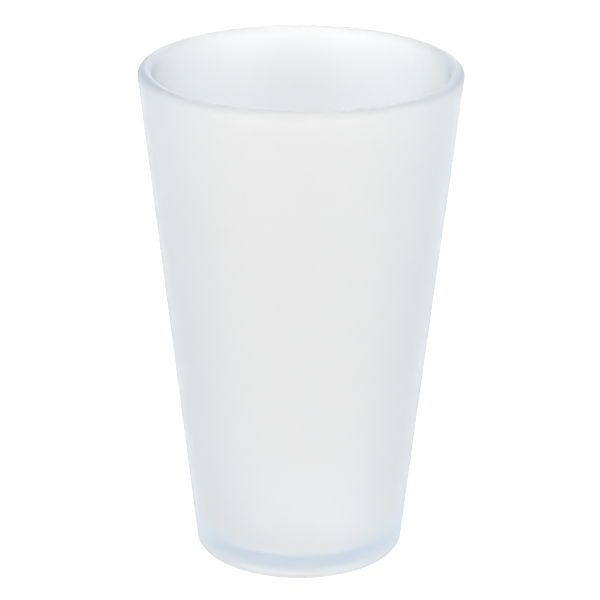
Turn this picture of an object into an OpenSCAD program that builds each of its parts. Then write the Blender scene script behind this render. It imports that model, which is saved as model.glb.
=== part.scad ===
// Pint tumbler moulded in one piece: a straight tapered cup with a full-round lip,
// a thick floor with a rounded inside corner, and a foot ring around a shallow recess.
// The origin is the centre of the resting face, and +Z points up along the axis.

/* [Body] */
// Height from the resting face to the top of the lip
height = 145.6; // [120:0.2:180]
// Outside diameter at the widest part of the lip
lip_d = 92; // [80:0.5:112]
// Outside diameter that the straight wall has where it reaches the resting face
foot_d = 60.2; // [50:0.2:74]

/* [Wall] */
// Wall thickness at the lip, which is also the diameter of the full-round lip
lip_wall = 4.2; // [3:0.1:6]
// Wall thickness at the level of the inside floor
floor_wall = 4.4; // [3.4:0.1:6]

/* [Floor] */
// Height of the inside floor above the resting face
floor_h = 5.6; // [4.6:0.1:9]
// Radius of the corner between the inside floor and the wall
floor_corner_r = 6; // [2:0.5:12]

/* [Foot] */
// Radius of the outside edge of the foot
foot_edge_r = 2.2; // [1:0.1:2.8]
// Width of the foot ring, from the wall's outside line to the edge of the recess
ring_w = 6.4; // [5:0.2:10]
// Depth of the recess in the underside
recess_depth = 1.2; // [0.6:0.1:2]
// Radius of both edges of the step between the foot ring and the recess
recess_edge_r = 0.5; // [0.2:0.05:0.8]

/* [Moulding gate] */
// Diameter of the gate dimple in the middle of the recess
gate_d = 8; // [4:0.5:14]
// Depth of the gate dimple
gate_depth = 0.4; // [0.2:0.1:0.8]

/* [Hidden] */

// Facets of the revolved body, and of each circle in its section
body_fn = 144;
arc_fn = 96;

// Most of the recess's height that one of its edge radii may take
step_share = 0.45;

// Centre of the full-round lip
lip_r = lip_wall / 2;
lip_c = [lip_d / 2 - lip_r, height - lip_r];

// Angle off vertical of the line from point p that touches the lip circle.
// side is 1 for the outside of the wall and -1 for the inside.
function lean(p, side) =
    let (d = lip_c - p)
    acos(-side * lip_r / norm(d)) - atan2(d[1], d[0]);

// Where that line touches a circle of radius r about c
function touch(c, r, angle, side) = c + side * r * [cos(angle), -sin(angle)];

// Outside line of the wall
foot_p = [foot_d / 2, 0];
out_lean = lean(foot_p, 1);

// Inside line of the wall, from the corner that it makes with the inside floor
floor_p = [foot_p[0] + floor_h * tan(out_lean) - floor_wall, floor_h];
in_lean = lean(floor_p, -1);

// Outside edge of the foot, its radius limited so that it stays below the inside floor
foot_r = min(foot_edge_r, floor_h / 2);
foot_c = [foot_p[0] + foot_r * tan(out_lean) - foot_r / cos(out_lean), foot_r];

// Corner between the inside floor and the wall
corner_c = [
    floor_p[0] + floor_corner_r * tan(in_lean) - floor_corner_r / cos(in_lean),
    floor_h + floor_corner_r
];

// Step from the foot ring up to the roof of the recess, its two radii limited by its height
recess_r = foot_p[0] - ring_w;
step_r = min(recess_edge_r, recess_depth * step_share);
ring_edge_c = [recess_r + step_r, step_r];
roof_edge_c = [recess_r - step_r, recess_depth - step_r];

module pint_tumbler() {
    color("aliceblue")
    rotate_extrude($fn = body_fn)
    difference() {
        union() {
            difference() {
                polygon([
                    [0, recess_depth],
                    [roof_edge_c[0], recess_depth],
                    [recess_r, roof_edge_c[1]],
                    [recess_r, ring_edge_c[1]],
                    [ring_edge_c[0], 0],
                    [foot_c[0], 0],
                    touch(foot_c, foot_r, out_lean, 1),
                    touch(lip_c, lip_r, out_lean, 1),
                    touch(lip_c, lip_r, in_lean, -1),
                    touch(corner_c, floor_corner_r, in_lean, 1),
                    [corner_c[0], floor_h],
                    [0, floor_h]
                ]);
                round_at(corner_c, floor_corner_r);
                round_at(roof_edge_c, step_r);
            }
            round_at(lip_c, lip_r);
            round_at(foot_c, foot_r);
            round_at(ring_edge_c, step_r);
        }
        square([gate_d / 2, recess_depth + gate_depth]);
    }
}

// Circle in the section that rounds one of its corners
module round_at(c, r) {
    translate(c)
    circle(r = r, $fn = arc_fn);
}

pint_tumbler();
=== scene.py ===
import math

import bpy
import numpy as np
from mathutils import Matrix, Vector


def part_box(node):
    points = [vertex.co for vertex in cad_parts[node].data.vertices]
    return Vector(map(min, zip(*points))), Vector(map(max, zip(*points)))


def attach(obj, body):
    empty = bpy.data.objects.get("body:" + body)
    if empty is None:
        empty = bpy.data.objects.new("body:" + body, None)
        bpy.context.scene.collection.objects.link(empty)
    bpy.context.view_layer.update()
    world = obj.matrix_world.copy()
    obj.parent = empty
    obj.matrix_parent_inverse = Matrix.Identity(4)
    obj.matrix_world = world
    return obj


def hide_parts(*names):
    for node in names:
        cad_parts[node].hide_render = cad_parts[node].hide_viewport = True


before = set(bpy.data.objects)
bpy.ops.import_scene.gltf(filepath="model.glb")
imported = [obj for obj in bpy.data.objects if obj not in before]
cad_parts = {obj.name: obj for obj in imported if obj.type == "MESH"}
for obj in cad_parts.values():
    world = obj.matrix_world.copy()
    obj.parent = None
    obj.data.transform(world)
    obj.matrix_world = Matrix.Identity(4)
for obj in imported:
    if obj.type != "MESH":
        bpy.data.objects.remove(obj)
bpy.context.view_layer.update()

print("frame loaded", list(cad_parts))


# a long lens a little above the lip, aimed just over the middle of the tumbler
camera = {
    "lens": 170.35,           # mm, on a 36 mm sensor
    "distance": 0.8222,       # metres from the aim point
    "elevation": 20.741,      # degrees above the horizon
    "roll": 0.273,            # degrees, the camera leans a touch to its left
    "aimHeight": 0.07533,     # metres above the resting face
    "clip": (0.01, 20.0),     # metres, the nearest and the farthest that it sees
}


def addCamera(c):
    lift = math.radians(c["elevation"])
    back = Vector((0.0, -math.cos(lift), math.sin(lift)))
    data = bpy.data.cameras.new("camera")
    data.lens = c["lens"]
    data.clip_start, data.clip_end = c["clip"]
    shot = bpy.data.objects.new("camera", data)
    turn = (-back).to_track_quat("-Z", "Y").to_matrix().to_4x4()
    shot.matrix_world = (
        Matrix.Translation(Vector((0.0, 0.0, c["aimHeight"])) + back * c["distance"])
        @ turn
        @ Matrix.Rotation(math.radians(c["roll"]), 4, "Z")
    )
    bpy.context.scene.collection.objects.link(shot)
    bpy.context.scene.camera = shot


addCamera(camera)
print("camera set")


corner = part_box("pint_tumbler")[1]  # highest corner of the CAD tumbler's box
# all sizes are metres
tumbler = {
    "height": corner.z,           # top of the lip
    "lipRadius": corner.x,        # widest part of the lip
    "lipWall": 0.0042,            # wall at the lip, and the lip's own diameter
    "floorWall": 0.0044,          # wall at the inside floor
    "footRadius": 0.0301,         # where the straight outside line meets the table
    "floorHeight": 0.0056,
    "floorCorner": 0.006,         # radius between inside floor and wall
    "footEdge": 0.0022,           # radius of the foot's outside edge
    "ringWidth": 0.0064,
    "recessDepth": 0.0012,
    "recessEdge": 0.0005,
    "gateRadius": 0.004,          # dimple left by the moulding gate
    "gateDepth": 0.0004,
    "gateSlope": 0.0002,          # how far the dimple's side leans outwards
    "skinDrop": 0.00002,          # how far the real skin lies inside the nominal one
    "waveHeight": 0.000006,
    "waves": ((3, 40.0), (5, -70.0), (2, 110.0)),   # times round, and radians for each metre up
    "around": 256,                # faces around the axis
    "wallStep": 0.0022,           # between rings on the straight walls
    # faces along the section's other straights: under the foot from the axis outwards, and the inside floor
    "dimpleFaces": 14, "slopeFaces": 3, "roofFaces": 16, "ringFaces": 6, "floorFaces": 16,
    # faces along its arcs
    "recessArc": 6, "footArc": 14, "lipArc": 44, "cornerArc": 16,
}


def arc(centre, radius, start, end, steps):
    # centre plus radius times the cosine and the sine of an angle that goes from start to end,
    # in degrees from the outward direction, with the end left out
    turn = np.radians(np.linspace(start, end, steps, endpoint=False))
    return np.column_stack([centre[0] + radius * np.cos(turn), centre[1] + radius * np.sin(turn)])


def straight(a, b, steps):
    # points that share themselves evenly between a and b, with b left out
    share = np.linspace(0.0, 1.0, steps, endpoint=False)[:, None]
    return (1 - share) * np.array(a) + share * np.array(b)


def lean(p, centre, radius, side):
    # angle off vertical of the line from p that touches a circle, outside (1) or inside (-1) of it:
    # the arccosine of minus side times radius over the centre's distance, less the centre's direction
    across, up = centre - p
    return math.acos(-side * radius / math.hypot(across, up)) - math.atan2(up, across)


def touch(centre, radius, angle, side):
    # where a line that leans by this angle touches a circle: centre plus side times radius times
    # the cosine outwards and the sine downwards
    return centre + side * radius * np.array([math.cos(angle), -math.sin(angle)])


def cornerCentre(p, radius, angle):
    # centre of the circle that touches the level line through p and the wall's line that rises from p:
    # in from p by radius over the cosine, out by radius times the tangent, and up by radius
    return np.array([p[0] + radius * math.tan(angle) - radius / math.cos(angle), p[1] + radius])


def tumblerSection(t):
    # straights and arcs, each starting where the last one ends, as distance from the axis and height:
    # from the axis under the foot, up the outside, over the lip, down to the floor and back to the axis
    lipR = t["lipWall"] / 2
    lip = np.array([t["lipRadius"] - lipR, t["height"] - lipR])
    foot = np.array([t["footRadius"], 0.0])
    outLean = lean(foot, lip, lipR, 1)
    floor = np.array([foot[0] + t["floorHeight"] * math.tan(outLean) - t["floorWall"], t["floorHeight"]])
    inLean = lean(floor, lip, lipR, -1)
    outDeg, inDeg = math.degrees(outLean), math.degrees(inLean)
    edge, bend = t["footEdge"], t["floorCorner"]
    edgeC = cornerCentre(foot, edge, outLean)
    bendC = cornerCentre(floor, bend, inLean)
    recess, small, deep = t["footRadius"] - t["ringWidth"], t["recessEdge"], t["recessDepth"]
    gate, top = t["gateRadius"], deep + t["gateDepth"]
    gateRim = gate + t["gateSlope"]
    rings = int(t["height"] / t["wallStep"])
    return np.concatenate([
        straight((0.0, top), (gate, top), t["dimpleFaces"]),
        straight((gate, top), (gateRim, deep), t["slopeFaces"]),
        straight((gateRim, deep), (recess - small, deep), t["roofFaces"]),
        arc((recess - small, deep - small), small, 90, 0, t["recessArc"]),
        straight((recess, deep - small), (recess, small), 1),
        arc((recess + small, small), small, 180, 270, t["recessArc"]),
        straight((recess + small, 0.0), (edgeC[0], 0.0), t["ringFaces"]),
        arc(edgeC, edge, -90, -outDeg, t["footArc"]),
        straight(touch(edgeC, edge, outLean, 1), touch(lip, lipR, outLean, 1), rings),
        arc(lip, lipR, -outDeg, 180 - inDeg, t["lipArc"]),
        straight(touch(lip, lipR, inLean, -1), touch(bendC, bend, inLean, 1), rings),
        arc(bendC, bend, -inDeg, -90, t["cornerArc"]),
        straight((bendC[0], floor[1]), (0.0, floor[1]), t["floorFaces"]),
        [[0.0, floor[1]]],
    ])


def turnsAround(around):
    # even angles round the axis, in radians
    return np.linspace(0.0, 2 * np.pi, around, endpoint=False)


def tumblerRelief(t, section):
    # how far the real skin stands off the section, for each of its points (rows) at each turn (columns):
    # the sum of three waves, each the cosine of times round x turn + radians per metre x height,
    # less a drop that keeps it all inside
    z = section[:, 1:]
    wave = sum(np.cos(times * turnsAround(t["around"]) + climb * z) for times, climb in t["waves"])
    return t["waveHeight"] * wave - t["skinDrop"]


def outwards(section):
    # unit normals of the section, to its right as it is walked, which is away from the solid
    step = np.gradient(section, axis=0)
    step /= np.linalg.norm(step, axis=1)[:, None]
    return np.column_stack([step[:, 1], -step[:, 0]])


def lathe(name, section, relief):
    # point(i, j) = section[i] moved by relief[i, j] along its own normal, then turned by j steps about +Z;
    # both ends of the section lie on the axis and become one point each
    normal = outwards(section)
    r = section[:, :1] + relief * normal[:, :1]
    z = section[:, 1:] + relief * normal[:, 1:]
    around = relief.shape[1]
    turn = turnsAround(around)
    grid = np.stack([r * np.cos(turn), r * np.sin(turn), z], axis=-1)[1:-1]
    count = len(grid)
    poles = np.array([[0.0, 0.0, z[0].mean()], [0.0, 0.0, z[-1].mean()]])
    verts = np.concatenate([grid.reshape(-1, 3), poles])

    # four-sided faces between the rings, and a fan of three-sided ones round each pole
    i, j = np.meshgrid(np.arange(count - 1), np.arange(around), indexing="ij")
    k = (j + 1) % around
    quads = np.stack([i * around + j, i * around + k, (i + 1) * around + k, (i + 1) * around + j], -1)
    a = np.arange(around)
    b = (a + 1) % around
    last = (count - 1) * around
    underside = np.stack([np.full(around, count * around), b, a], -1)
    inside = np.stack([np.full(around, count * around + 1), last + a, last + b], -1)
    faces = quads.reshape(-1, 4).tolist() + underside.tolist() + inside.tolist()

    mesh = bpy.data.meshes.new(name)
    mesh.from_pydata(verts.tolist(), [], faces)
    mesh.shade_smooth()
    mesh.update()
    piece = bpy.data.objects.new(name, mesh)
    bpy.context.scene.collection.objects.link(piece)
    return piece


section = tumblerSection(tumbler)
body = lathe("tumblerBody", section, tumblerRelief(tumbler, section))
print("tumbler made,", len(body.data.polygons), "faces")


silicone = {
    "colour": (1.0, 0.907, 0.86, 1.0),     # the skin where the gum is clearest
    "cloud": (0.985, 0.907, 0.87, 1.0),    # and where it is a little milkier
    "cloudScale": 26.0,                    # clouds per metre
    "cloudStretch": 0.35,                  # their scale upwards, which draws them out along the wall
    "cloudDetail": 4.0,
    "cloudDistortion": 0.6,
    "clear": 0.64,                         # share of light that goes through
    "ior": 1.41,
    "roughness": (0.35, 0.41),             # satin of the wall, least and most
    "patchScale": 104.0,                   # patches of more and less polish, per metre
    "patchDetail": 3.0,
    "patchRange": (0.3, 0.7),              # noise at the least and at the most
    "matteEnds": 0.22,                     # roughness added at the lip and at the foot
    "endDepth": 0.007,                     # metres over which it fades into the wall
    "grainScale": 1400.0,                  # fine grain of the skin, per metre
    "grainDetail": 2.0,
    "grainStrength": 0.35,
    "grainHeight": 0.00001,                # metres
    "absorb": (0.0, 0.63, 0.92, 1.0),      # takes red first, so thick stretches turn blue
    "absorbDensity": 45.0,                 # per metre
}


def addNode(tree, kind, **settings):
    # the settings are the node's own properties
    node = tree.nodes.new(kind)
    for key, value in settings.items():
        setattr(node, key, value)
    return node


def siliconeMaterial(s, top):
    # one clear, rough shader: light is spread at both skins and loses red on its way through
    made = bpy.data.materials.new("milkySilicone")
    made.use_nodes = True
    tree = made.node_tree
    link = tree.links.new
    shader = tree.nodes["Principled BSDF"]
    out = tree.nodes["Material Output"]
    shader.inputs["Transmission Weight"].default_value = s["clear"]
    shader.inputs["IOR"].default_value = s["ior"]

    place = addNode(tree, "ShaderNodeTexCoord")

    # soft clouds of milkiness, drawn out along the flow of the gum from the gate
    flow = addNode(tree, "ShaderNodeMapping")
    flow.inputs["Scale"].default_value = (1.0, 1.0, s["cloudStretch"])
    link(place.outputs["Object"], flow.inputs["Vector"])
    clouds = addNode(tree, "ShaderNodeTexNoise")
    clouds.inputs["Scale"].default_value = s["cloudScale"]
    clouds.inputs["Detail"].default_value = s["cloudDetail"]
    clouds.inputs["Distortion"].default_value = s["cloudDistortion"]
    link(flow.outputs["Vector"], clouds.inputs["Vector"])
    blend = addNode(tree, "ShaderNodeMix", data_type="RGBA")
    blend.inputs["A"].default_value = s["colour"]
    blend.inputs["B"].default_value = s["cloud"]
    link(clouds.outputs["Fac"], blend.inputs["Factor"])
    link(blend.outputs["Result"], shader.inputs["Base Color"])

    # satin skin: finer patches where the mould was polished more or less
    patches = addNode(tree, "ShaderNodeTexNoise")
    patches.inputs["Scale"].default_value = s["patchScale"]
    patches.inputs["Detail"].default_value = s["patchDetail"]
    link(place.outputs["Object"], patches.inputs["Vector"])
    satin = addNode(tree, "ShaderNodeMapRange")
    satin.inputs["From Min"].default_value, satin.inputs["From Max"].default_value = s["patchRange"]
    satin.inputs["To Min"].default_value, satin.inputs["To Max"].default_value = s["roughness"]
    link(patches.outputs["Fac"], satin.inputs["Value"])

    # the lip and the foot are more matte than the wall between them
    level = addNode(tree, "ShaderNodeSeparateXYZ")
    link(place.outputs["Object"], level.inputs["Vector"])
    skin = satin.outputs["Result"]
    for start, end in ((top - s["endDepth"], top), (s["endDepth"], 0.0)):
        fade = addNode(tree, "ShaderNodeMapRange", interpolation_type="SMOOTHSTEP")
        fade.inputs["From Min"].default_value = start
        fade.inputs["From Max"].default_value = end
        fade.inputs["To Max"].default_value = s["matteEnds"]
        link(level.outputs["Z"], fade.inputs["Value"])
        more = addNode(tree, "ShaderNodeMath", operation="ADD")
        link(skin, more.inputs[0])
        link(fade.outputs["Result"], more.inputs[1])
        skin = more.outputs["Value"]
    link(skin, shader.inputs["Roughness"])

    # fine grain of the skin
    grain = addNode(tree, "ShaderNodeTexNoise")
    grain.inputs["Scale"].default_value = s["grainScale"]
    grain.inputs["Detail"].default_value = s["grainDetail"]
    link(place.outputs["Object"], grain.inputs["Vector"])
    bump = addNode(tree, "ShaderNodeBump")
    bump.inputs["Strength"].default_value = s["grainStrength"]
    bump.inputs["Distance"].default_value = s["grainHeight"]
    link(grain.outputs["Fac"], bump.inputs["Height"])
    link(bump.outputs["Normal"], shader.inputs["Normal"])

    # the gum takes up light on the way through
    soak = addNode(tree, "ShaderNodeVolumeAbsorption")
    soak.inputs["Color"].default_value = s["absorb"]
    soak.inputs["Density"].default_value = s["absorbDensity"]
    link(soak.outputs["Volume"], out.inputs["Volume"])
    return made


body.data.materials.append(siliconeMaterial(silicone, tumbler["height"]))
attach(body, "root")
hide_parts("pint_tumbler")
print("silicone on")


room = {
    "floorSize": 6.0,                      # metres
    "floorDrop": 0.0001,                   # metres, so that the foot doesn't share its plane
    "floorColour": (0.2, 0.2, 0.2, 1.0),   # the lit table's own paint under its glow
    "floorRoughness": 0.9,
    "floorGlow": 1.07,                     # a light table, so the tumbler is lit from under too
    "dome": 0.4,                           # soft light from all round
    "backdrop": 1.1,                       # how white the open backdrop looks
    "lightColour": (1.0, 1.0, 1.0, 1.0),   # of the glow, the dome and the backdrop
}


def addFloor(r):
    half, z = r["floorSize"] / 2, -r["floorDrop"]
    corners = [(-half, -half, z), (half, -half, z), (half, half, z), (-half, half, z)]
    mesh = bpy.data.meshes.new("floor")
    mesh.from_pydata(corners, [], [(0, 1, 2, 3)])
    floor = bpy.data.objects.new("floor", mesh)
    paint = bpy.data.materials.new("floorPaint")
    paint.use_nodes = True
    shader = paint.node_tree.nodes["Principled BSDF"]
    shader.inputs["Base Color"].default_value = r["floorColour"]
    shader.inputs["Roughness"].default_value = r["floorRoughness"]
    shader.inputs["Emission Color"].default_value = r["lightColour"]
    shader.inputs["Emission Strength"].default_value = r["floorGlow"]
    mesh.materials.append(paint)
    bpy.context.scene.collection.objects.link(floor)


def addWorld(r):
    # the dome lights the tumbler, and the camera sees a whiter backdrop behind it
    world = bpy.data.worlds.new("studio")
    world.use_nodes = True
    tree = world.node_tree
    dome = tree.nodes["Background"]
    dome.inputs["Strength"].default_value = r["dome"]
    back = addNode(tree, "ShaderNodeBackground")
    back.inputs["Strength"].default_value = r["backdrop"]
    seen = addNode(tree, "ShaderNodeLightPath")
    both = addNode(tree, "ShaderNodeMixShader")
    for shader in (dome, back):
        shader.inputs["Color"].default_value = r["lightColour"]
    tree.links.new(seen.outputs["Is Camera Ray"], both.inputs["Fac"])
    tree.links.new(dome.outputs["Background"], both.inputs[1])
    tree.links.new(back.outputs["Background"], both.inputs[2])
    tree.links.new(both.outputs["Shader"], tree.nodes["World Output"].inputs["Surface"])
    bpy.context.scene.world = world


# degrees, metres and watts: the turn is about +Z from +X and the tilt is off the vertical, both seen
# from the lamp's aim, and the size is a soft box's diameter or a spot's radius
lamps = {
    "keyLamp": {"turn": 241.6, "tilt": 13.0, "size": 0.14, "power": 10.0},
    "backLamp": {"turn": 72.0, "tilt": 60.0, "size": 0.8, "power": 6.2},
    "lowBackLamp": {"turn": 90.0, "tilt": 82.0, "size": 0.6, "power": 5.0},
    "leftLamp": {"turn": 180.0, "tilt": 60.0, "size": 0.6, "power": 5.6},
    "rightLamp": {"turn": 0.0, "tilt": 60.0, "size": 0.6, "power": 3.6},
    "frontLeftLamp": {"turn": 225.0, "tilt": 82.0, "size": 0.6, "power": 6.5},
    "frontRightLamp": {"turn": 315.0, "tilt": 82.0, "size": 0.6, "power": 8.2},
    # a snooted lamp shines past the lip onto the back right of the inside floor
    "snootLamp": {
        "turn": 241.6, "tilt": 12.0, "size": 0.02, "power": 120.0,
        "spread": 1.15,           # whole cone
        "aim": (0.008, 0.012, tumbler["floorHeight"]),
    },
}
lampDistance = 1.6                # metres from each lamp to its aim
middle = (0.0, 0.0, tumbler["height"] / 2)


def addLamp(name, values):
    # a round soft box, or a spot where a spread is given
    if "spread" in values:
        data = bpy.data.lights.new(name, "SPOT")
        data.spot_size = math.radians(values["spread"])
        data.spot_blend = 1.0     # its edge fades from the very middle
        data.shadow_soft_size = values["size"]
    else:
        data = bpy.data.lights.new(name, "AREA")
        data.shape = "DISK"
        data.size = values["size"]
    data.energy = values["power"]
    lamp = bpy.data.objects.new(name, data)
    turn, tilt = math.radians(values["turn"]), math.radians(values["tilt"])
    toward = Vector((math.sin(tilt) * math.cos(turn), math.sin(tilt) * math.sin(turn), math.cos(tilt)))
    place = Vector(values.get("aim", middle)) + toward * lampDistance
    lamp.matrix_world = Matrix.Translation(place) @ toward.to_track_quat("Z", "Y").to_matrix().to_4x4()
    bpy.context.scene.collection.objects.link(lamp)


# how often light may turn before it is dropped: it meets many skins inside the tumbler
bounces = {"all": 40, "through": 40, "diffuse": 10, "gloss": 12}


def setLight(b):
    scene = bpy.context.scene
    scene.view_settings.view_transform = "Standard"
    scene.cycles.max_bounces = b["all"]
    scene.cycles.transmission_bounces = b["through"]
    scene.cycles.diffuse_bounces = b["diffuse"]
    scene.cycles.glossy_bounces = b["gloss"]


addFloor(room)
addWorld(room)
for name, values in lamps.items():
    addLamp(name, values)
setLight(bounces)
print("room ready")
